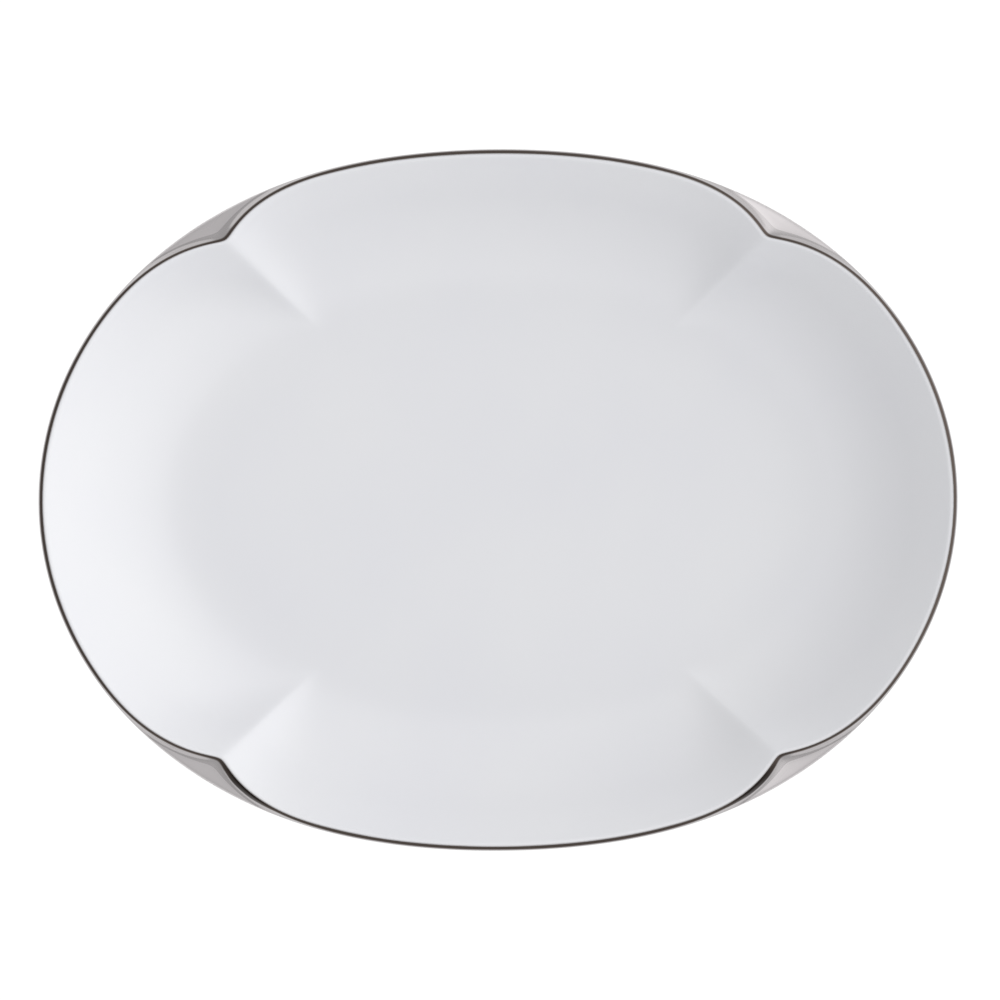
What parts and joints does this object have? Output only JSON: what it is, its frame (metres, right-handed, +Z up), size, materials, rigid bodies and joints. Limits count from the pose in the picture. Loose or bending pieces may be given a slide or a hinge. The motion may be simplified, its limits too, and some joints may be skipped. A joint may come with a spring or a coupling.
{
  "type": "oval serving platter",
  "caption": "Shallow oval serving platter with four petal-shaped lobes, a flat well, white glazed inside and metallic outside, on a foot ring.",
  "frame": {"origin": "centre of the oval at the level of the surface the foot ring stands on", "axes": "+X along the long axis of the oval, +Y along the short axis, +Z up out of the dish"},
  "size_m": [0.3798, 0.29, 0.038],
  "materials": {
    "fired_porcelain": "bare fired clay, fine matt grain, seen only on the standing edge",
    "white_glaze": "glossy cool white glaze",
    "polished_platinum": "polished metal film, near black in a thin line along the crest",
    "satin_platinum": "satin metal film with faint brush marks",
    "base_white_glaze": "glossy white glaze, slightly uneven"
  },
  "bodies": {
    "root": {"porcelain_body": "fired_porcelain", "inner_glaze": "white_glaze", "polished_rim_band": "polished_platinum", "outer_platinum": "satin_platinum", "base_glaze": "base_white_glaze"}
  },
  "joints": []
}
